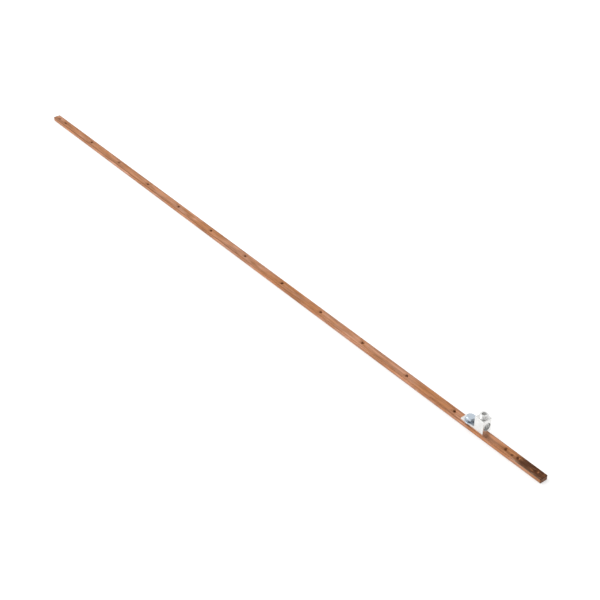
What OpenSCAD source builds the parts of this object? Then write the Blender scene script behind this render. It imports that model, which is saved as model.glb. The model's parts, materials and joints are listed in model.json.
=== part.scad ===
// Rack grounding busbar: a flat copper bar with a row of tapped holes, one every two rack
// units, and a one-hole mechanical lug bolted near one end for the main grounding conductor.
// Millimetres, +Z up. The origin is the centre of the bar's underside, +X runs along the bar
// towards the end that carries the lug.

/* [Bar] */
// Length of the bar
bar_length = 1162; // [600:1:2000]
// Width of the bar
bar_width = 12.7; // [12:0.1:30]
// Thickness of the bar
bar_thickness = 6.35; // [4:0.05:10]
// Radius of the four long edges
bar_edge_radius = 0.8; // [0.2:0.1:1.5]
// Radius of the sheared corners, seen from above
bar_corner_radius = 1.6; // [0.5:0.1:3]

/* [Tapped holes] */
// Major diameter of the 10-32 thread
tap_diameter = 4.9; // [3:0.1:6]
// Depth of the countersink that breaks each hole's mouth
tap_countersink = 0.35; // [0.1:0.05:0.6]
// Number of holes for equipment grounding wires
wire_hole_count = 13; // [5:1:13]
// Distance between neighbouring wire holes, two rack units
wire_hole_pitch = 88.9; // [44.45, 88.9]
// Distance from the lug end to the first wire hole
first_wire_hole = 62; // [55:0.5:75]
// Distance from each end of the bar to its end hole
end_hole_inset = 12.2; // [8:0.1:20]
// Distance from the lug end to the second mounting hole
second_hole_inset = 42.2; // [30:0.1:50]

/* [Lug] */
// Overall length of the lug
lug_length = 37.7; // [34:0.1:45]
// Width of the lug
lug_width = 14; // [13.6:0.1:16]
// Height of the wire collar above the bar
collar_height = 21; // [20:0.1:24]
// Length of the wire collar
collar_length = 15; // [13.5:0.1:18]
// Thickness of the tongue
tongue_thickness = 3.4; // [2:0.1:5]
// Diameter of the wire bore
wire_bore = 11.4; // [8:0.1:12]
// Height of the wire bore's axis above the bar
wire_bore_height = 9.8; // [9:0.1:10.5]
// Diameter of the stud hole in the tongue
stud_hole = 10.3; // [10.3:0.1:11]
// Distance from the lug end of the bar to the face where the wire goes in
lug_setback = 97.6; // [90:0.1:100]
// How far the lug has slid towards the bar's far edge within its stud hole
lug_side_shift = 1.95; // [0:0.05:1.95]

/* [Clamping screw] */
// Major diameter of the clamping screw
clamp_screw_diameter = 11.1; // [8:0.1:11.1]
// Length of the clamping screw
clamp_screw_length = 11.1; // [9:0.1:14]
// Hexagon socket, across flats
socket_across_flats = 5.56; // [4:0.01:6]
// Depth of the hexagon socket
socket_depth = 5.2; // [3:0.1:6]
// Distance from the wire face to the clamping screw's axis
clamp_screw_inset = 6.9; // [6.5:0.1:8]

/* [Mounting screw] */
// Diameter of the screw that holds the lug
screw_diameter = 6.3; // [5:0.1:6.3]
// Length of that screw under its head
screw_length = 12.7; // [11:0.1:12.9]
// Hexagon head, across flats
head_across_flats = 11.1; // [9:0.1:12]
// Height of the hexagon head
head_height = 4; // [3:0.1:5]
// Distance from the lug's tip to the screw's axis
screw_to_tip = 11.7; // [10:0.1:12.5]

/* [Washers] */
// Outer diameter of the flat washer
flat_washer_outer = 15.9; // [14.5:0.1:16]
// Thickness of the flat washer
flat_washer_thickness = 1.65; // [1:0.05:2]
// Outer diameter of the split lock washer
lock_washer_outer = 12.2; // [11:0.1:12.5]
// Thickness of the split lock washer
lock_washer_thickness = 1.6; // [1:0.1:2]
// Inner diameter of both washers
washer_inner = 6.9; // [6.6:0.1:7.5]

/* [Hidden] */

// Facet count for every round face that is drawn by OpenSCAD itself
$fn = 64;
// Overshoot that carries a cut clean through a face
over = 1;
// Radial play round a screw in the hole that it is threaded into
thread_play = 0.05;

lug_end_x = bar_length / 2;
bar_top_z = bar_thickness;

// The lug runs from its wire face back along the bar to the tip of its tongue
wire_face_x = lug_end_x - lug_setback;
tongue_tip_x = wire_face_x - lug_length;
lug_base_z = bar_top_z;
tongue_top_z = lug_base_z + tongue_thickness;
bore_axis_z = lug_base_z + wire_bore_height;
collar_top_z = lug_base_z + collar_height;
clamp_screw_x = wire_face_x - clamp_screw_inset;
clamp_screw_chamfer = 1.2;
clamp_screw_rim = 0.5;
// The clamping screw is drawn fully open, its point just clear of the wire bore
clamp_point_z = bore_axis_z + wire_bore / 2 + 0.05;
collar_edge_radius = 0.9;
tongue_fillet = 1.6;
tongue_edge_radius = 0.6;

screw_x = tongue_tip_x + screw_to_tip;
lock_washer_z = tongue_top_z + flat_washer_thickness;
head_z = lock_washer_z + lock_washer_thickness;
washer_face_thickness = 0.4;
screw_point_chamfer = 0.8;
lock_washer_gap = 1;
lock_washer_slant = 35;
washer_edge = 0.2;

// Distances of the three mounting holes from the bar's centre
mounting_hole_xs = [
    lug_end_x - end_hole_inset,
    lug_end_x - second_hole_inset,
    -lug_end_x + end_hole_inset
];

function wire_hole_x(index) = lug_end_x - first_wire_hole - index * wire_hole_pitch;

// A rectangle centred on the origin with four round corners
module rounded_rectangle(size, radius) {
    straight = [size[0] - 2 * radius, size[1] - 2 * radius];
    square([size[0], straight[1]], center = true);
    square([straight[0], size[1]], center = true);
    for (x = [-straight[0] / 2, straight[0] / 2], y = [-straight[1] / 2, straight[1] / 2])
        translate([x, y])
            circle(radius);
}

// A tapped hole through the bar, its mouths broken by small countersinks
module tapped_hole(diameter) {
    mouth = diameter + 2 * tap_countersink;
    translate([0, 0, -over])
        cylinder(d = diameter, h = bar_thickness + 2 * over);
    translate([0, 0, bar_thickness - tap_countersink])
        cylinder(d1 = diameter, d2 = mouth, h = tap_countersink);
    cylinder(d1 = mouth, d2 = diameter, h = tap_countersink);
}

// The section with its rounded edges, run along the bar and cut to the outline from above
module bar_blank() {
    intersection() {
        translate([0, 0, bar_thickness / 2])
            rotate([90, 0, 90])
                linear_extrude(bar_length, center = true)
                    rounded_rectangle([bar_width, bar_thickness], bar_edge_radius);
        translate([0, 0, -over])
            linear_extrude(bar_thickness + 2 * over)
                rounded_rectangle([bar_length, bar_width], bar_corner_radius);
    }
}

module busbar() {
    color("peru")
        difference() {
            bar_blank();
            for (index = [0 : wire_hole_count - 1])
                translate([wire_hole_x(index), 0, 0])
                    tapped_hole(tap_diameter);
            for (x = mounting_hole_xs)
                translate([x, 0, 0])
                    tapped_hole(tap_diameter);
            translate([screw_x, 0, 0])
                tapped_hole(screw_diameter + 2 * thread_play);
        }
}

// The lug's extruded side view, from the tip of the tongue to the wire face
module lug_profile() {
    collar_start = lug_length - collar_length;
    difference() {
        union() {
            square([lug_length, tongue_thickness - tongue_edge_radius]);
            translate([tongue_edge_radius, 0])
                square([lug_length - tongue_edge_radius, tongue_thickness]);
            translate([tongue_edge_radius, tongue_thickness - tongue_edge_radius])
                circle(tongue_edge_radius);
            translate([collar_start, 0])
                square([collar_length, collar_height - collar_edge_radius]);
            translate([collar_start + collar_edge_radius, 0])
                square([collar_length - 2 * collar_edge_radius, collar_height]);
            for (x = [collar_start + collar_edge_radius, lug_length - collar_edge_radius])
                translate([x, collar_height - collar_edge_radius])
                    circle(collar_edge_radius);
            translate([collar_start - tongue_fillet, tongue_thickness])
                square(tongue_fillet);
        }
        translate([collar_start - tongue_fillet, tongue_thickness + tongue_fillet])
            circle(tongue_fillet);
    }
}

module lug_body() {
    color("gainsboro")
        translate([0, lug_side_shift, 0])
            difference() {
                translate([tongue_tip_x, lug_width / 2, lug_base_z])
                    rotate([90, 0, 0])
                        linear_extrude(lug_width)
                            lug_profile();
                // Wire bore, right through the collar
                translate([wire_face_x + over, 0, bore_axis_z])
                    rotate([0, -90, 0])
                        cylinder(d = wire_bore, h = collar_length + 2 * over);
                // Clamping screw's hole, down to the axis of the wire bore
                translate([clamp_screw_x, 0, bore_axis_z])
                    cylinder(d = clamp_screw_diameter + 2 * thread_play,
                             h = collar_height);
                // Stud hole in the tongue
                translate([screw_x, 0, lug_base_z - over])
                    cylinder(d = stud_hole, h = tongue_thickness + 2 * over);
            }
}

module clamp_screw() {
    radius = clamp_screw_diameter / 2;
    top = clamp_screw_length;
    socket_circle = socket_across_flats / cos(30);
    color("silver")
        translate([clamp_screw_x, lug_side_shift, clamp_point_z])
            difference() {
                rotate_extrude()
                    polygon([
                        [0, 0],
                        [radius - clamp_screw_chamfer, 0],
                        [radius, clamp_screw_chamfer],
                        [radius, top - clamp_screw_rim],
                        [radius - clamp_screw_rim, top],
                        [0, top]
                    ]);
                // Hexagon socket with the cone that its drill leaves
                translate([0, 0, top - socket_depth])
                    linear_extrude(socket_depth + over)
                        circle(d = socket_circle, $fn = 6);
                translate([0, 0, top - socket_depth - 1.2])
                    cylinder(d1 = 0, d2 = socket_across_flats, h = 1.2 + 0.01);
                // Cup point that bites the wire
                translate([0, 0, -0.01])
                    cylinder(d1 = 5.4, d2 = 0, h = 1.6);
            }
}

// Hexagon head with a washer face below and a turned bevel on top
module hexagon_head() {
    corner_radius = head_across_flats / 2 / cos(30);
    flat_radius = head_across_flats / 2;
    bevel = (corner_radius - flat_radius * 0.94) * tan(30);
    intersection() {
        translate([0, 0, washer_face_thickness])
            linear_extrude(head_height - washer_face_thickness)
                circle(corner_radius, $fn = 6);
        rotate_extrude()
            polygon([
                [0, 0],
                [corner_radius, 0],
                [corner_radius, head_height - bevel],
                [flat_radius * 0.94, head_height],
                [0, head_height]
            ]);
    }
    cylinder(r = flat_radius * 0.96, h = washer_face_thickness);
}

module lug_screw() {
    radius = screw_diameter / 2;
    color("lightsteelblue")
        translate([screw_x, 0, head_z]) {
            rotate([0, 0, 12])
                hexagon_head();
            rotate_extrude()
                polygon([
                    [0, 0.1],
                    [radius, 0.1],
                    [radius, -screw_length + screw_point_chamfer],
                    [radius - screw_point_chamfer, -screw_length],
                    [0, -screw_length]
                ]);
        }
}

// Spring washer squeezed flat, its two ends parted by a slanting cut
module lock_washer() {
    middle = (lock_washer_outer + washer_inner) / 4;
    color("slategray")
        translate([screw_x, 0, lock_washer_z])
            difference() {
                rotate_extrude()
                    translate([washer_inner / 2, 0])
                        square([(lock_washer_outer - washer_inner) / 2, lock_washer_thickness]);
                rotate([0, 0, 250])
                    translate([middle, 0, lock_washer_thickness / 2])
                        rotate([lock_washer_slant, 0, 0])
                            cube([middle, lock_washer_gap, 4 * lock_washer_thickness],
                                 center = true);
            }
}

// Stamped washer, its outer edge rolled over on the punch side
module flat_washer() {
    outer = flat_washer_outer / 2;
    color("lightsteelblue")
        translate([screw_x, 0, tongue_top_z])
            rotate_extrude()
                polygon([
                    [washer_inner / 2, 0],
                    [outer, 0],
                    [outer, flat_washer_thickness - washer_edge],
                    [outer - washer_edge, flat_washer_thickness],
                    [washer_inner / 2, flat_washer_thickness]
                ]);
}

busbar();
lug_body();
clamp_screw();
lug_screw();
lock_washer();
flat_washer();
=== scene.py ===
# %% [markdown]
# # A copper grounding bar with its bolted lug
#
# The real object is a flat bar of drawn copper, more than a metre long, that collects the
# grounding wires of an equipment rack. It has a row of tapped holes, and near one end a
# mechanical lug: a block of tinned aluminium with a bore for the main conductor and a
# clamping screw from above.
#
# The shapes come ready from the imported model, so this lesson is about finishes: a tarnished
# and streaked metal, a tinned one, a zinc-plated one, and the threads that catch the light.

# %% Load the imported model
import json
import math

import bmesh
import bpy
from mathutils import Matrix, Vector


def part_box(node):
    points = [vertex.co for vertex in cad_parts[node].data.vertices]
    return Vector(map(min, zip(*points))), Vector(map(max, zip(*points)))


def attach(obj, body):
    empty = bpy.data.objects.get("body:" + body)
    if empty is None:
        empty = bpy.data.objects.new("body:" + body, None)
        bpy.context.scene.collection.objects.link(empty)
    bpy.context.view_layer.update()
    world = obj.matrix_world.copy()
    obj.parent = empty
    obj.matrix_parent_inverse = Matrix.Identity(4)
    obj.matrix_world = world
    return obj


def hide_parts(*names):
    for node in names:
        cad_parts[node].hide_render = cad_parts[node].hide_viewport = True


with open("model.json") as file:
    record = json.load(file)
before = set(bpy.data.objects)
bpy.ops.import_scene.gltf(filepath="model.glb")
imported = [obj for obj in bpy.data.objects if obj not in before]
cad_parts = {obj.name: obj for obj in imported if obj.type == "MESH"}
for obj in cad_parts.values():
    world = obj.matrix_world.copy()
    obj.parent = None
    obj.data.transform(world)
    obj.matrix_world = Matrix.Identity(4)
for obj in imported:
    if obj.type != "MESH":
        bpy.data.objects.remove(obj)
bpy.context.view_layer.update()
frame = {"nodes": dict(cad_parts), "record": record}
print("nodes:", sorted(frame["nodes"]))

# %% [markdown]
# ## Where things are
#
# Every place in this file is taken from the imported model. A node's box gives its two
# extreme corners, and the record lists the hole patterns with their centres and spacings.
# Working from these, instead of typing positions again, means that the finish follows the
# part if the part changes.

# %% Measure the pieces
MM = 0.001

bar_low, bar_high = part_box("busbar")
lug_low, lug_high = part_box("lug_body")
screw_low, screw_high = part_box("clamp_screw")
head_low, head_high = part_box("lug_screw")
washer_low, washer_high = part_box("flat_washer")

bar_centre = (bar_low + bar_high) / 2
bar_size = bar_high - bar_low
clamp_axis = (screw_low + screw_high) / 2


def tapped_hole_centres():
    """The centre of each tapped hole on the bar's top, from the record's patterns of two."""
    centres = []
    for mount in frame["record"]["mounts"]:
        if mount["kind"] != "bolt_pattern":
            continue
        middle = Vector(mount["pos_m"])
        half = Vector((mount["dims"]["spacing_x_mm"] * MM / 2, 0, 0))
        centres += [middle - half, middle + half]
    return sorted(centres, key=lambda centre: centre.x)


holes = tapped_hole_centres()
hole_radius = frame["record"]["mounts"][1]["dims"]["hole_r_mm"] * MM
print("bar:", [round(c / MM, 2) for c in bar_size], "mm, tapped holes:", len(holes))

# %% [markdown]
# ## The camera
#
# A long thin bar reads best from high up and from one end, so that it crosses the picture
# on a diagonal and both its top and its near side show. The camera is placed by a bearing
# and an elevation round a point on the bar, because those two angles are what one thinks
# in when choosing a view. A long lens keeps the far end from shrinking too much.

# %% Place the camera
AIM_POINT = Vector((0.116, 0.0, 0.0))
CAMERA_BEARING = math.radians(-38.3)
CAMERA_ELEVATION = math.radians(36.0)
CAMERA_DISTANCE = 1.755
LENS = 74.09


def direction(bearing, elevation):
    """The unit vector at a bearing from +X and an elevation above the floor."""
    flat = math.cos(elevation)
    return Vector((flat * math.cos(bearing), flat * math.sin(bearing), math.sin(elevation)))


camera = bpy.data.objects.new("camera", bpy.data.cameras.new("camera"))
bpy.context.scene.collection.objects.link(camera)
camera.data.lens = LENS
to_camera = direction(CAMERA_BEARING, CAMERA_ELEVATION)
camera.location = AIM_POINT + CAMERA_DISTANCE * to_camera
camera.rotation_euler = (-to_camera).to_track_quat("-Z", "Y").to_euler()
bpy.context.scene.camera = camera
bpy.context.scene.view_settings.view_transform = "Standard"
print("camera at", [round(c, 3) for c in camera.location])

# %% [markdown]
# ## Small helpers for node trees
#
# A material is a tree of nodes, and writing one out by hand fills pages with links. These
# helpers make a node, set its inputs and hand back its output, so that a material below
# reads as a list of steps. An input may be a plain value or another node's output.

# %% Node helpers
def connect(tree, socket, value):
    """Links value to the socket if it is another socket, and otherwise stores it there."""
    if isinstance(value, bpy.types.NodeSocket):
        tree.links.new(value, socket)
    elif value is not None:
        socket.default_value = value


def add_node(tree, kind, settings=None, **inputs):
    """Adds a node; inputs are given by their names, with _ for each space."""
    node = tree.nodes.new(kind)
    for name, value in (settings or {}).items():
        setattr(node, name, value)
    for name, value in inputs.items():
        connect(tree, node.inputs[name.replace("_", " ")], value)
    return node


def maths(tree, operation, a, b=None, c=None, clamp=False):
    node = add_node(tree, "ShaderNodeMath", {"operation": operation, "use_clamp": clamp})
    for socket, value in zip(node.inputs, (a, b, c)):
        connect(tree, socket, value)
    return node.outputs[0]


def vector_maths(tree, operation, a, b, output="Vector"):
    node = add_node(tree, "ShaderNodeVectorMath", {"operation": operation})
    connect(tree, node.inputs[0], a)
    connect(tree, node.inputs[1], b)
    return node.outputs[output]


def blend_colours(tree, factor, a, b, blend="MIX"):
    node = add_node(tree, "ShaderNodeMix", {"data_type": "RGBA", "blend_type": blend})
    connect(tree, node.inputs[0], factor)
    connect(tree, node.inputs[6], a)
    connect(tree, node.inputs[7], b)
    return node.outputs[2]


def fade(tree, value, start, end, low=0.0, high=1.0):
    """Turns value into low at start and high at end, smoothly, and keeps it between them."""
    node = add_node(tree, "ShaderNodeMapRange", {"interpolation_type": "SMOOTHSTEP"})
    for name, given in (("Value", value), ("From Min", start), ("From Max", end),
                        ("To Min", low), ("To Max", high)):
        connect(tree, node.inputs[name], given)
    return node.outputs["Result"]


def noise(tree, vector, scale=1.0, detail=3.0, roughness=0.5, distortion=0.0):
    node = add_node(tree, "ShaderNodeTexNoise", Vector=vector, Scale=scale, Detail=detail,
                    Roughness=roughness, Distortion=distortion)
    return node.outputs["Fac"]


def part_coordinates(tree):
    """Places on the part in metres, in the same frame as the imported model."""
    return add_node(tree, "ShaderNodeTexCoord").outputs["Object"]


def split(tree, vector):
    node = add_node(tree, "ShaderNodeSeparateXYZ", Vector=vector)
    return node.outputs["X"], node.outputs["Y"], node.outputs["Z"]


print("node helpers ready")

# %% [markdown]
# ## The studio
#
# Metal shows what stands round it, so the studio matters as much as the material. This one
# is a white floor and a white backdrop behind the bar, with a dimmer room on the camera's
# side. Flat faces then mirror something white and look clean, and the rounded edges mirror
# the dimmer room and get the dark line that makes them read as edges.
#
# The white comes from what a ray may see, and not from more light. Camera rays and mirror
# rays find white, and the rays that carry soft light find a plain level that leaves colours
# as they are written.

# %% The world
BACKDROP_SIDE = direction(math.radians(141.7), math.radians(25.0))
ROOM_LEVEL = 0.42
BACKDROP_LEVEL = 0.95


def white_to_the_eye(tree, lit, seen_in_mirrors=True):
    """Strength 1 for rays that look at the studio, and lit for those that light the part."""
    path = add_node(tree, "ShaderNodeLightPath").outputs
    looks = maths(tree, "MAXIMUM", path["Is Camera Ray"], path["Is Transmission Ray"])
    if seen_in_mirrors:
        looks = maths(tree, "MAXIMUM", looks, path["Is Glossy Ray"])
    return maths(tree, "ADD", maths(tree, "MULTIPLY", lit, maths(tree, "SUBTRACT", 1.0, looks)),
                 looks)


def build_world():
    world = bpy.data.worlds.new("studio")
    world.use_nodes = True
    tree = world.node_tree
    tree.nodes.clear()
    ray = add_node(tree, "ShaderNodeTexCoord").outputs["Generated"]
    towards = vector_maths(tree, "DOT_PRODUCT", ray, tuple(BACKDROP_SIDE), "Value")
    lit = fade(tree, towards, -0.25, 0.65, ROOM_LEVEL, BACKDROP_LEVEL)
    strength = white_to_the_eye(tree, lit, seen_in_mirrors=False)
    background = add_node(tree, "ShaderNodeBackground", Color=(1, 1, 1, 1), Strength=strength)
    output = add_node(tree, "ShaderNodeOutputWorld")
    tree.links.new(background.outputs[0], output.inputs["Surface"])
    bpy.context.scene.world = world
    return world


build_world()
print("room level", ROOM_LEVEL, "backdrop level", BACKDROP_LEVEL)

# %% [markdown]
# ## The floor
#
# The floor is a pale matt sheet just under the bar. For the camera it also glows a little,
# enough to carry its lit parts to white, so it meets the backdrop with no line and still
# keeps the soft shadow under the bar.

# %% The floor
FLOOR_REACH = 30.0
FLOOR_DROP = 0.2 * MM
FLOOR_GLOW = 0.45


def floor_material():
    material = bpy.data.materials.new("matt_white_floor")
    material.use_nodes = True
    tree = material.node_tree
    tree.nodes.clear()
    matt = add_node(tree, "ShaderNodeBsdfDiffuse", Color=(0.80, 0.80, 0.80, 1))
    path = add_node(tree, "ShaderNodeLightPath").outputs
    looks = maths(tree, "MAXIMUM", path["Is Camera Ray"],
                  maths(tree, "MAXIMUM", path["Is Glossy Ray"], path["Is Transmission Ray"]))
    glow = add_node(tree, "ShaderNodeEmission", Color=(1, 1, 1, 1),
                    Strength=maths(tree, "MULTIPLY", looks, FLOOR_GLOW))
    both = tree.nodes.new("ShaderNodeAddShader")
    tree.links.new(matt.outputs[0], both.inputs[0])
    tree.links.new(glow.outputs[0], both.inputs[1])
    output = add_node(tree, "ShaderNodeOutputMaterial")
    tree.links.new(both.outputs[0], output.inputs["Surface"])
    return material


def build_floor():
    mesh = bpy.data.meshes.new("floor")
    reach, height = FLOOR_REACH, bar_low.z - FLOOR_DROP
    corners = [(-reach, -reach, height), (reach, -reach, height),
               (reach, reach, height), (-reach, reach, height)]
    mesh.from_pydata(corners, [], [(0, 1, 2, 3)])
    mesh.materials.append(floor_material())
    floor = bpy.data.objects.new("floor", mesh)
    bpy.context.scene.collection.objects.link(floor)
    return floor


floor = build_floor()
print("floor at z =", round((bar_low.z - FLOOR_DROP) / MM, 2), "mm")

# %% [markdown]
# ## The lamps
#
# Two large soft boxes do the work. The key hangs high on the left and sends the lug's short
# shadow along the bar. The second stands low on the camera's left and lights the long side.
# Both are wide, because a small lamp would leave hard white spots on every rounded edge.

# %% Soft boxes
def soft_box(name, towards, distance, size, radiance):
    """A square area lamp seen from the lug; its power is worked out from its brightness."""
    lamp = bpy.data.lights.new(name, "AREA")
    lamp.shape = "SQUARE"
    lamp.size = size
    lamp.energy = radiance * math.pi * size * size
    box = bpy.data.objects.new(name, lamp)
    box.location = AIM_POINT + towards * distance
    box.rotation_euler = (-towards).to_track_quat("-Z", "Y").to_euler()
    bpy.context.scene.collection.objects.link(box)
    return box


soft_box("key_soft_box", direction(math.radians(212), math.radians(58)), 1.6, 0.9, 2.2)
soft_box("side_soft_box", direction(math.radians(250), math.radians(30)), 1.9, 1.0, 0.9)

# %% [markdown]
# ## Shared effects as node groups
#
# Four effects come back in several finishes: long streaks from drawing or sawing, soft
# blotches of tarnish, round marks, and edges where handling has rubbed the surface. Each is
# a node group with named inputs, built once, so every material can use it with its own
# sizes. The groups give out only masks, and each material decides what a mask does.

# %% A helper that makes a group
def new_group(name, inputs, outputs):
    """An empty group with these float or vector sockets; returns it with its two ends."""
    group = bpy.data.node_groups.new(name, "ShaderNodeTree")
    for label, value in inputs.items():
        kind = "NodeSocketFloat" if isinstance(value, float) else "NodeSocketVector"
        socket = group.interface.new_socket(name=label, in_out="INPUT", socket_type=kind)
        socket.default_value = value
    for label in outputs:
        group.interface.new_socket(name=label, in_out="OUTPUT", socket_type="NodeSocketFloat")
    entry = group.nodes.new("NodeGroupInput")
    result = group.nodes.new("NodeGroupOutput")
    return group, entry.outputs, result.inputs


def use_group(tree, group, output, **inputs):
    node = add_node(tree, "ShaderNodeGroup", {"node_tree": group}, **inputs)
    return node.outputs[output]


print("group helper ready")

# %% [markdown]
# ### Streaks
#
# Copper bar is drawn through a die, which leaves fine lines along its whole length. Noise
# gives such lines when it is stretched: places are divided by a long distance one way and
# by a short one across. Two layers, one broad and one fine, keep it from looking combed.

# %% The streaks group
def build_streaks():
    group, given, result = new_group(
        "long_streaks",
        {"Vector": (0.0, 0.0, 0.0), "Lengths": (0.06, 0.001, 0.001), "Contrast": 1.0},
        ["Broad", "Fine"],
    )
    place = vector_maths(group, "DIVIDE", given["Vector"], given["Lengths"])
    broad = noise(group, place, scale=1.0, detail=2.0, roughness=0.6)
    fine = noise(group, place, scale=4.3, detail=3.0, roughness=0.7)
    for label, value in (("Broad", broad), ("Fine", fine)):
        centred = maths(group, "SUBTRACT", value, 0.5)
        spread = maths(group, "MULTIPLY", centred, given["Contrast"])
        group.links.new(maths(group, "ADD", spread, 0.5, clamp=True), result[label])
    return group


long_streaks = build_streaks()
print("group:", long_streaks.name)

# %% [markdown]
# ### Blotches
#
# Tarnish starts where skin or moisture touched the metal, so it comes in soft islands with
# ragged rims. Distorted noise cut at a threshold gives islands. The softness sets how
# quickly the rim fades.

# %% The blotches group
def build_blotches():
    group, given, result = new_group(
        "soft_blotches",
        {"Vector": (0.0, 0.0, 0.0), "Lengths": (0.02, 0.01, 0.01), "Cover": 0.5,
         "Softness": 0.15},
        ["Mask"],
    )
    place = vector_maths(group, "DIVIDE", given["Vector"], given["Lengths"])
    cloud = noise(group, place, scale=1.0, detail=4.0, roughness=0.62, distortion=0.6)
    edge = maths(group, "SUBTRACT", 1.0, given["Cover"])
    start = maths(group, "SUBTRACT", edge, given["Softness"])
    end = maths(group, "ADD", edge, given["Softness"])
    group.links.new(fade(group, cloud, start, end), result["Mask"])
    return group


soft_blotches = build_blotches()
print("group:", soft_blotches.name)

# %% [markdown]
# ### Round marks
#
# A drip, the ring that a washer leaves and the smudge beside a hole are all round. The mask
# is 1 within a radius of a point and fades out over a given softness.

# %% The round mark group
def build_round_mark():
    group, given, result = new_group(
        "round_mark",
        {"Vector": (0.0, 0.0, 0.0), "Centre": (0.0, 0.0, 0.0), "Radius": 0.003,
         "Softness": 0.001},
        ["Mask"],
    )
    distance = vector_maths(group, "DISTANCE", given["Vector"], given["Centre"], "Value")
    outside = maths(group, "ADD", given["Radius"], given["Softness"])
    group.links.new(fade(group, distance, outside, given["Radius"]), result["Mask"])
    return group


round_mark = build_round_mark()
print("group:", round_mark.name)

# %% [markdown]
# ### Rubbed edges
#
# Corners are touched first, so plating thins and brightens there. The Bevel node gives the
# normal that a slightly rounded corner would have. Where it turns away from the true
# normal there is an edge, and noise breaks the line up so that the rub looks uneven.

# %% The rubbed edges group
def build_rubbed_edges():
    group, given, result = new_group(
        "rubbed_edges",
        {"Vector": (0.0, 0.0, 0.0), "Width": 0.0004, "Patchiness": 0.5},
        ["Mask"],
    )
    rounded = add_node(group, "ShaderNodeBevel", {"samples": 6}, Radius=given["Width"])
    true_normal = add_node(group, "ShaderNodeNewGeometry").outputs["Normal"]
    alike = vector_maths(group, "DOT_PRODUCT", rounded.outputs["Normal"], true_normal, "Value")
    edge = fade(group, alike, 0.995, 0.90)
    place = vector_maths(group, "DIVIDE", given["Vector"], (0.003, 0.003, 0.003))
    broken = fade(group, noise(group, place, detail=4.0), 0.35, 0.65)
    gaps = maths(group, "MULTIPLY", given["Patchiness"], maths(group, "SUBTRACT", 1.0, broken))
    kept = maths(group, "SUBTRACT", 1.0, gaps)
    group.links.new(maths(group, "MULTIPLY", edge, kept), result["Mask"])
    return group


rubbed_edges = build_rubbed_edges()
print("group:", rubbed_edges.name)

# %% [markdown]
# ## Copper
#
# Bare copper that has lain about is never one colour. Fresh metal is pink, handled metal
# turns orange, and damp turns it brown. The long streaks run through all of it. This
# material stacks those layers from the metal outwards: metal, patches, streaks, painted shade
# along the long edges with a painted highlight near the lug end, smudges at the holes, the dark
# stain on the lug end, and last painted shade on the end faces.

# %% Start a metal material
def new_metal(name, metallic=1.0):
    """A material with one Principled shader; returns the material, its tree and the shader."""
    material = bpy.data.materials.new(name)
    material.use_nodes = True
    tree = material.node_tree
    tree.nodes.clear()
    shader = add_node(tree, "ShaderNodeBsdfPrincipled")
    shader.inputs["Metallic"].default_value = metallic
    output = add_node(tree, "ShaderNodeOutputMaterial")
    tree.links.new(shader.outputs[0], output.inputs["Surface"])
    return material, tree, shader


def bump(tree, height, distance, strength=1.0, normal=None):
    node = add_node(tree, "ShaderNodeBump", Height=height, Distance=distance,
                    Strength=strength)
    if normal is not None:
        tree.links.new(normal, node.inputs["Normal"])
    return node.outputs["Normal"]


print("metal helper ready")

# %% [markdown]
# ### The layers of the copper
#
# Each layer is a short function that takes the colour so far and returns the next one.
# That keeps every layer small enough to read, and one can be switched off to see what it
# does.

# %% Metal and patches
PINK_COPPER = (0.66, 0.35, 0.225, 1)
ORANGE_COPPER = (0.56, 0.245, 0.105, 1)
BROWN_COPPER = (0.30, 0.125, 0.060, 1)
# The colour of the dark stain, and also of the painted shade on the end faces.
DARK_STAIN_AND_SHADE = (0.060, 0.022, 0.012, 1)
# The painted highlight on the rounded long edges near the lug end.
PAINTED_EDGE_HIGHLIGHT = (0.46, 0.36, 0.26, 1)


def patchy_copper(tree, place):
    orange = use_group(tree, soft_blotches, "Mask", Vector=place,
                       Lengths=(0.045, 0.012, 0.012), Cover=0.52, Softness=0.16)
    brown = use_group(tree, soft_blotches, "Mask",
                      Vector=vector_maths(tree, "ADD", place, (3.1, 1.7, 0.4)),
                      Lengths=(0.030, 0.006, 0.006), Cover=0.42, Softness=0.12)
    colour = blend_colours(tree, orange, PINK_COPPER, ORANGE_COPPER)
    return blend_colours(tree, maths(tree, "MULTIPLY", brown, 0.45), colour, BROWN_COPPER)


def streaked(tree, colour, broad, fine):
    """Darkens along the hollows of the streaks and lets their crests shine."""
    shade = maths(tree, "ADD", maths(tree, "MULTIPLY", broad, 0.60),
                  maths(tree, "MULTIPLY", fine, 0.40))
    level = fade(tree, shade, 0.30, 0.70, 0.70, 1.14)
    tint = add_node(tree, "ShaderNodeCombineColor", Red=level, Green=level, Blue=level)
    return blend_colours(tree, 1.0, colour, tint.outputs[0], "MULTIPLY")


print("copper layers: patches, streaks")

# %% [markdown]
# ### Edges, holes and ends
#
# The long edges get a line of painted shade along their rounded corners, and near the lug end
# a line of painted highlight instead. Each hole has a smudge on one side where oil from tapping
# ran out. The sheared end faces get painted shade that makes them nearly black.

# %% Painted edge shade and highlight, hole smudges, the stain and the painted shade on the ends
EDGE_ZONE = 0.9 * MM
STAIN_START = 50 * MM


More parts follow.
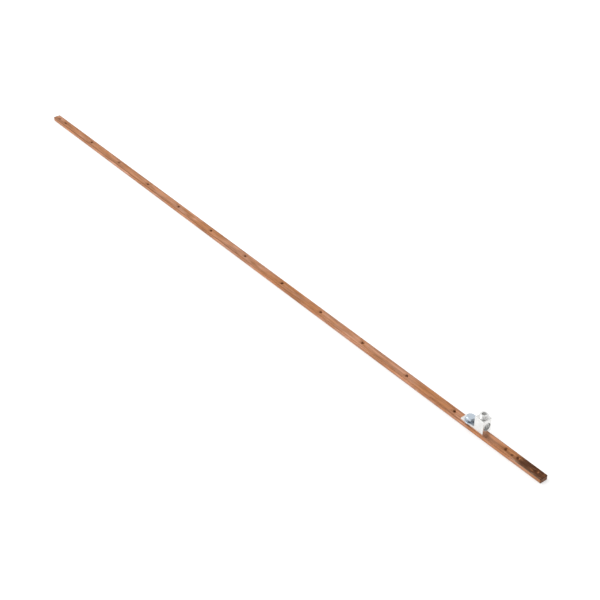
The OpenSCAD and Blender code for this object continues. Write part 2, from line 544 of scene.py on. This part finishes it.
def edge_shade_and_highlight(tree, colour, place):
    """Painted shade as a brown line on the rounded long edges, and a painted highlight near the
    lug end.
    """
    x, y, z = split(tree, vector_maths(tree, "SUBTRACT", place, tuple(bar_centre)))
    side_gap = maths(tree, "SUBTRACT", bar_size.y / 2, maths(tree, "ABSOLUTE", y))
    top_gap = maths(tree, "SUBTRACT", bar_size.z / 2, maths(tree, "ABSOLUTE", z))
    from_corner = maths(tree, "ADD", side_gap, top_gap)
    on_edge = fade(tree, from_corner, EDGE_ZONE * 1.6, EDGE_ZONE * 0.6)
    near_lug_end = fade(tree, x, bar_size.x / 2 - 52 * MM, bar_size.x / 2 - 40 * MM)
    # Painted shade on the rounded long edges, turning to a painted highlight near the lug end.
    dull = blend_colours(tree, near_lug_end, BROWN_COPPER, PAINTED_EDGE_HIGHLIGHT)
    return blend_colours(tree, maths(tree, "MULTIPLY", on_edge, 0.75), colour, dull)


def smudged_holes(tree, colour, place):
    """A brown halo at every tapped hole, drawn out towards the far end of the bar."""
    mask = 0.0
    for hole in holes:
        centre = hole + Vector((-2.6 * MM, -0.4 * MM, 0))
        mark = use_group(tree, round_mark, "Mask", Vector=place, Centre=tuple(centre),
                         Radius=2.2 * MM, Softness=2.4 * MM)
        mask = maths(tree, "MAXIMUM", mask, mark)
    return blend_colours(tree, maths(tree, "MULTIPLY", mask, 0.38), colour, BROWN_COPPER)


def stain_mask(tree, place):
    """The dark stain: ragged, thickest along the middle of the lug end, and one drip."""
    x, y, z = split(tree, vector_maths(tree, "SUBTRACT", place, tuple(bar_centre)))
    along = fade(tree, x, bar_size.x / 2 - STAIN_START, bar_size.x / 2 - STAIN_START + 0.016)
    ragged = use_group(tree, soft_blotches, "Mask", Vector=place,
                       Lengths=(0.014, 0.004, 0.006), Cover=0.66, Softness=0.22)
    on_top = fade(tree, z, bar_size.z * 0.30, bar_size.z * 0.46)
    stain = maths(tree, "MULTIPLY", maths(tree, "MULTIPLY", along, ragged), on_top)
    drip = use_group(tree, round_mark, "Mask", Vector=place,
                     Centre=(bar_high.x - 50.5 * MM, -1.9 * MM, bar_high.z),
                     Radius=1.4 * MM, Softness=1.2 * MM)
    return maths(tree, "MAXIMUM", stain, maths(tree, "MULTIPLY", drip, 0.7)), x


def painted_shade_ends(tree, colour, x):
    """Painted shade on both sheared end faces, turning them nearly black."""
    from_end = maths(tree, "SUBTRACT", bar_size.x / 2, maths(tree, "ABSOLUTE", x))
    # Painted shade: the end faces are mixed towards the dark colour.
    on_end = fade(tree, from_end, 1.6 * MM, 0.2 * MM)
    return blend_colours(tree, maths(tree, "MULTIPLY", on_end, 0.75), colour, DARK_STAIN_AND_SHADE)


print("stain starts", STAIN_START / MM, "mm from the lug end")

# %% [markdown]
# ### The copper material
#
# The colour gets all the layers. The roughness follows the same streaks and stains, since
# tarnish is matt and rubbed metal shines, and the fine streaks also feed the bump, so the
# lines can be felt in the highlights and not only seen in the colour.

# %% Copper
def build_copper():
    material, tree, shader = new_metal("tarnished_copper")
    place = part_coordinates(tree)
    streaks = add_node(tree, "ShaderNodeGroup", {"node_tree": long_streaks}, Vector=place,
                       Lengths=(0.070, 0.0022, 0.0022), Contrast=1.5)
    broad, fine = streaks.outputs["Broad"], streaks.outputs["Fine"]
    colour = streaked(tree, patchy_copper(tree, place), broad, fine)
    # Painted shade along the long edges, with a painted highlight near the lug end.
    colour = edge_shade_and_highlight(tree, colour, place)
    colour = smudged_holes(tree, colour, place)
    stain, x = stain_mask(tree, place)
    colour = blend_colours(tree, maths(tree, "MULTIPLY", stain, 0.85), colour, DARK_STAIN_AND_SHADE)
    # Painted shade on the end faces.
    colour = painted_shade_ends(tree, colour, x)
    roughness = fade(tree, broad, 0.25, 0.75, 0.50, 0.36)
    roughness = maths(tree, "ADD", roughness, maths(tree, "MULTIPLY", stain, 0.12))
    tree.links.new(colour, shader.inputs["Base Color"])
    tree.links.new(roughness, shader.inputs["Roughness"])
    tree.links.new(bump(tree, fine, 0.03 * MM), shader.inputs["Normal"])
    return material


copper = build_copper()
print("material:", copper.name, "with", len(copper.node_tree.nodes), "nodes")

# %% [markdown]
# ## Tinned aluminium
#
# The lug is a slice of an extrusion, so its two sides are sawn and its other faces keep the
# lines of the die. A thin coat of tin makes all of it pale and satin. The streaks group
# draws both kinds of line: across the lug on the extruded faces, and up and down on the
# sawn ones. The face's normal says which kind a point is on.

# %% Tinned aluminium
TIN_PALE = (0.86, 0.86, 0.85, 1)
TIN_DULL = (0.66, 0.665, 0.65, 1)
TIN_RUBBED = (0.93, 0.93, 0.93, 1)


def facing(tree, axis):
    """How squarely the surface faces along an axis, from 0 to 1."""
    normal = add_node(tree, "ShaderNodeNewGeometry").outputs["Normal"]
    return maths(tree, "ABSOLUTE", split(tree, normal)[axis])


def build_tinned_aluminium():
    material, tree, shader = new_metal("tinned_aluminium")
    place = part_coordinates(tree)
    drawn = use_group(tree, long_streaks, "Fine", Vector=place,
                      Lengths=(0.0009, 0.030, 0.0009), Contrast=1.2)
    sawn = use_group(tree, long_streaks, "Fine", Vector=place,
                     Lengths=(0.0012, 0.0012, 0.020), Contrast=1.0)
    is_sawn = fade(tree, facing(tree, 1), 0.6, 0.9)
    lines = maths(tree, "ADD", maths(tree, "MULTIPLY", drawn,
                                     maths(tree, "SUBTRACT", 1.0, is_sawn)),
                  maths(tree, "MULTIPLY", sawn, is_sawn))
    dull = use_group(tree, soft_blotches, "Mask", Vector=place,
                     Lengths=(0.006, 0.006, 0.006), Cover=0.45, Softness=0.25)
    rubbed = use_group(tree, rubbed_edges, "Mask", Vector=place, Width=0.45 * MM,
                       Patchiness=0.6)
    colour = blend_colours(tree, maths(tree, "MULTIPLY", dull, 0.35), TIN_PALE, TIN_DULL)
    colour = blend_colours(tree, fade(tree, lines, 0.55, 0.25, 0.0, 0.30), colour, TIN_DULL)
    colour = blend_colours(tree, rubbed, colour, TIN_RUBBED)
    rounded = add_node(tree, "ShaderNodeBevel", {"samples": 6}, Radius=0.25 * MM)
    normal = bump(tree, lines, 0.02 * MM, normal=rounded.outputs["Normal"])
    tree.links.new(colour, shader.inputs["Base Color"])
    tree.links.new(fade(tree, dull, 0.0, 1.0, 0.30, 0.42), shader.inputs["Roughness"])
    tree.links.new(normal, shader.inputs["Normal"])
    return material


tinned = build_tinned_aluminium()
print("material:", tinned.name)

# %% [markdown]
# ## Zinc plate
#
# The screw and its washers have clear zinc plate, which is bluer than the tin and mirrors
# more sharply. Its life is in small clouds of colour, a few darker grains, and bright worn
# corners. The spring washer gets a darker version, as hardened spring steel takes less of
# the shine.

# %% Zinc-plated steel
ZINC_BLUE = (0.60, 0.68, 0.76, 1)
ZINC_GREY = (0.46, 0.51, 0.57, 1)
ZINC_RUBBED = (0.86, 0.89, 0.92, 1)
SPRING_BLUE = (0.36, 0.40, 0.45, 1)
SPRING_GREY = (0.25, 0.28, 0.32, 1)


def build_zinc(name, bright, dark):
    material, tree, shader = new_metal(name)
    place = part_coordinates(tree)
    cloud = use_group(tree, soft_blotches, "Mask", Vector=place,
                      Lengths=(0.0025, 0.0025, 0.0025), Cover=0.5, Softness=0.25)
    grain = use_group(tree, soft_blotches, "Mask", Vector=place,
                      Lengths=(0.0005, 0.0005, 0.0005), Cover=0.4, Softness=0.1)
    rubbed = use_group(tree, rubbed_edges, "Mask", Vector=place, Width=0.3 * MM,
                       Patchiness=0.5)
    colour = blend_colours(tree, maths(tree, "MULTIPLY", cloud, 0.6), bright, dark)
    colour = blend_colours(tree, maths(tree, "MULTIPLY", grain, 0.2), colour, dark)
    colour = blend_colours(tree, rubbed, colour, ZINC_RUBBED)
    rounded = add_node(tree, "ShaderNodeBevel", {"samples": 6}, Radius=0.2 * MM)
    normal = bump(tree, grain, 0.008 * MM, normal=rounded.outputs["Normal"])
    tree.links.new(colour, shader.inputs["Base Color"])
    tree.links.new(fade(tree, cloud, 0.0, 1.0, 0.24, 0.34), shader.inputs["Roughness"])
    tree.links.new(normal, shader.inputs["Normal"])
    return material


zinc = build_zinc("zinc_plate", ZINC_BLUE, ZINC_GREY)
spring_zinc = build_zinc("zinc_on_spring_steel", SPRING_BLUE, SPRING_GREY)
print("materials:", zinc.name, "and", spring_zinc.name)

# %% [markdown]
# ## The clamping screw's tin
#
# The clamping screw is turned, so its lines run round its axis, and the tin on it is
# brighter on the rim than in the grooves, where dirt stays.

# %% Turned and tinned
def build_turned_tin():
    material, tree, shader = new_metal("turned_tin")
    place = part_coordinates(tree)
    offset = vector_maths(tree, "SUBTRACT", place, tuple(clamp_axis))
    flat = vector_maths(tree, "MULTIPLY", offset, (1.0, 1.0, 0.0))
    radius = vector_maths(tree, "LENGTH", flat, (0, 0, 0), "Value")
    turned = add_node(tree, "ShaderNodeCombineXYZ", X=radius, Y=split(tree, offset)[2])
    rings = use_group(tree, long_streaks, "Fine", Vector=turned.outputs[0],
                      Lengths=(0.0006, 0.0006, 0.0006), Contrast=1.2)
    dull = use_group(tree, soft_blotches, "Mask", Vector=place,
                     Lengths=(0.003, 0.003, 0.003), Cover=0.4, Softness=0.2)
    in_groove = fade(tree, radius, 5.45 * MM, 4.85 * MM)
    colour = blend_colours(tree, maths(tree, "MULTIPLY", dull, 0.3), TIN_PALE, TIN_DULL)
    colour = blend_colours(tree, fade(tree, rings, 0.55, 0.2, 0.0, 0.3), colour, TIN_DULL)
    normal = bump(tree, rings, 0.01 * MM)
    tree.links.new(colour, shader.inputs["Base Color"])
    tree.links.new(fade(tree, in_groove, 0.0, 1.0, 0.26, 0.40), shader.inputs["Roughness"])
    tree.links.new(normal, shader.inputs["Normal"])
    return material


turned_tin = build_turned_tin()
print("material:", turned_tin.name)

# %% [markdown]
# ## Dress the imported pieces
#
# The bar, the lug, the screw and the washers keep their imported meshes, because those are
# already the real shapes. Only the material in each slot is swapped.

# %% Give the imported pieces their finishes
def dress(node, material):
    piece = frame["nodes"][node]
    piece.data.materials.clear()
    piece.data.materials.append(material)
    return piece


for node, material in (("busbar", copper), ("lug_body", tinned), ("lug_screw", zinc),
                       ("flat_washer", zinc), ("lock_washer", spring_zinc)):
    dress(node, material)
print("dressed:", sorted(o.name for o in frame["nodes"].values()))

# %% [markdown]
# ## The threads in the tapped holes
#
# Looking into a hole one sees the thread as a bright spiral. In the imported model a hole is
# a plain bore at the thread's outer diameter, so the spiral is added here: a small ridge
# with a sloping section that climbs round the wall. Its section is carried round in small
# steps, each one turned a little and raised by the same share of the pitch, and its two
# ends are closed.

# %% Thread ridges for the tapped holes
TAP_PITCH = 0.794 * MM
TAP_DEPTH = 0.38 * MM
TAP_STEPS = 28
WALL_SINK = 0.02 * MM
MOUTH_GAP = 0.45 * MM


def ridge_section():
    """The ridge's section as (towards the axis, up) pairs: wide at the wall, narrow inside."""
    half_root = TAP_PITCH * 0.40
    half_crest = TAP_PITCH * 0.08
    return [(-WALL_SINK, -half_root), (TAP_DEPTH, -half_crest),
            (TAP_DEPTH, half_crest), (-WALL_SINK, half_root)]


def add_ridge(mesh, centre, wall_radius, low, high):
    """Winds one ridge up a bore, thinning it out to nothing at both ends."""
    section = ridge_section()
    turns = (high - low) / TAP_PITCH
    steps = int(turns * TAP_STEPS)
    rings = []
    for step in range(steps + 1):
        angle = 2 * math.pi * step / TAP_STEPS
        height = low + TAP_PITCH * step / TAP_STEPS
        grown = min(1.0, step / TAP_STEPS * 2, (steps - step) / TAP_STEPS * 2)
        ring = []
        for inwards, up in section:
            radius = wall_radius - (inwards if inwards < 0 else inwards * max(grown, 0.05))
            ring.append(mesh.verts.new((centre.x + radius * math.cos(angle),
                                        centre.y + radius * math.sin(angle), height + up)))
        rings.append(ring)
    for below, above in zip(rings, rings[1:]):
        for i in range(4):
            j = (i + 1) % 4
            mesh.faces.new((below[i], below[j], above[j], above[i]))
    mesh.faces.new(rings[0])
    mesh.faces.new(rings[-1])


def build_hole_threads():
    mesh = bmesh.new()
    for hole in holes:
        add_ridge(mesh, hole, hole_radius, bar_low.z + MOUTH_GAP, bar_high.z - MOUTH_GAP)
    bmesh.ops.recalc_face_normals(mesh, faces=mesh.faces)
    data = bpy.data.meshes.new("hole_threads")
    mesh.to_mesh(data)
    mesh.free()
    data.materials.append(copper)
    piece = bpy.data.objects.new("hole_threads", data)
    bpy.context.scene.collection.objects.link(piece)
    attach(piece, "bar")
    return piece


hole_threads = build_hole_threads()
print("thread ridges:", len(holes), "with", len(hole_threads.data.polygons), "faces in all")

# %% [markdown]
# ## The clamping screw
#
# This screw stands proud of the lug, and its thread, rim and hexagon socket are what one
# notices first. A thread could be cut by screwing a profile round an axis, but then its
# start and end need care. Here the whole outside is one grid of points, wrapped round the
# axis. The radius of each point comes from a formula: the thread's crests and grooves,
# limited by the bevels at both ends. The same grid goes on over the rim, down the socket
# and to the drill's cone, so the screw is one closed skin.

# %% The outside of the screw as a formula
THREAD_PITCH = 1.8 * MM
THREAD_DEPTH = 0.85 * MM
AROUND = 120
RISE_STEP = 0.12 * MM
RIM_BEVEL = 0.5 * MM
POINT_BEVEL = 1.2 * MM
SOCKET_FLATS = 5.56 * MM
SOCKET_DEPTH = 5.2 * MM
SOCKET_CONE = 1.2 * MM
CUP_RADIUS = 2.7 * MM
CUP_DEPTH = 1.6 * MM

screw_radius = (screw_high.x - screw_low.x) / 2
screw_height = screw_high.z - screw_low.z


def thread_radius(height, angle):
    """The thread at one point: a rounded crest, a sloping flank and a flat groove."""
    turn = (height / THREAD_PITCH - angle / (2 * math.pi)) % 1.0
    from_crest = abs(turn - 0.5) * 2
    fall = min(1.0, max(0.0, (from_crest - 0.18) / 0.66))
    return screw_radius - THREAD_DEPTH * fall


def bevel_radius(height):
    """The cone that trims the point and the rim."""
    at_point = screw_radius - max(0.0, POINT_BEVEL - height)
    at_rim = screw_radius - max(0.0, height - (screw_height - RIM_BEVEL))
    return min(at_point, at_rim)


print("clamping screw:", round(2 * screw_radius / MM, 2), "by", round(screw_height / MM, 2), "mm")

# %% Rings of points, from the cup to the bottom of the socket
def circle_ring(radius, height):
    return [(radius * math.cos(a), radius * math.sin(a), height) for a in ring_angles()]


def ring_angles():
    return [2 * math.pi * i / AROUND for i in range(AROUND)]


def thread_ring(height):
    return [(r * math.cos(a), r * math.sin(a), height)
            for a in ring_angles()
            for r in [min(thread_radius(height, a), bevel_radius(height))]]


def hexagon_ring(across_flats, height):
    """A ring of the same number of points, pushed out to a hexagon."""
    ring = []
    for a in ring_angles():
        within = (a + math.pi / 6) % (math.pi / 3) - math.pi / 6
        radius = across_flats / 2 / math.cos(within)
        ring.append((radius * math.cos(a), radius * math.sin(a), height))
    return ring


def screw_rings():
    steps = round(screw_height / RISE_STEP)
    rings = [circle_ring(CUP_RADIUS * 0.02, CUP_DEPTH), circle_ring(CUP_RADIUS, 0.0)]
    rings += [thread_ring(screw_height * i / steps) for i in range(steps + 1)]
    rings += [hexagon_ring(SOCKET_FLATS * 1.07, screw_height),
              hexagon_ring(SOCKET_FLATS, screw_height - 0.25 * MM),
              hexagon_ring(SOCKET_FLATS, screw_height - SOCKET_DEPTH),
              circle_ring(SOCKET_FLATS / 2 * 0.94, screw_height - SOCKET_DEPTH),
              circle_ring(SOCKET_FLATS / 2 * 0.02, screw_height - SOCKET_DEPTH - SOCKET_CONE)]
    return rings


print("points round the screw:", AROUND)

# %% Join the rings into one closed screw
SMOOTH_LIMIT = math.radians(32)


def skin(rings, name, origin, material):
    """One closed mesh through rings that all have the same number of points."""
    mesh = bmesh.new()
    rows = [[mesh.verts.new(origin + Vector(point)) for point in ring] for ring in rings]
    count = len(rings[0])
    for below, above in zip(rows, rows[1:]):
        for i in range(count):
            j = (i + 1) % count
            mesh.faces.new((below[i], below[j], above[j], above[i]))
    mesh.faces.new(rows[0])
    mesh.faces.new(rows[-1])
    bmesh.ops.recalc_face_normals(mesh, faces=mesh.faces)
    for edge in mesh.edges:
        edge.smooth = len(edge.link_faces) == 2 and edge.calc_face_angle(0) < SMOOTH_LIMIT
    for face in mesh.faces:
        face.smooth = True
    data = bpy.data.meshes.new(name)
    mesh.to_mesh(data)
    mesh.free()
    data.materials.append(material)
    piece = bpy.data.objects.new(name, data)
    bpy.context.scene.collection.objects.link(piece)
    return piece


screw_foot = Vector((clamp_axis.x, clamp_axis.y, screw_low.z))
threaded_screw = skin(screw_rings(), "clamp_screw_threaded", screw_foot, turned_tin)
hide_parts("clamp_screw")
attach(threaded_screw, "clamp_screw")
print("clamping screw has", len(threaded_screw.data.polygons), "faces")
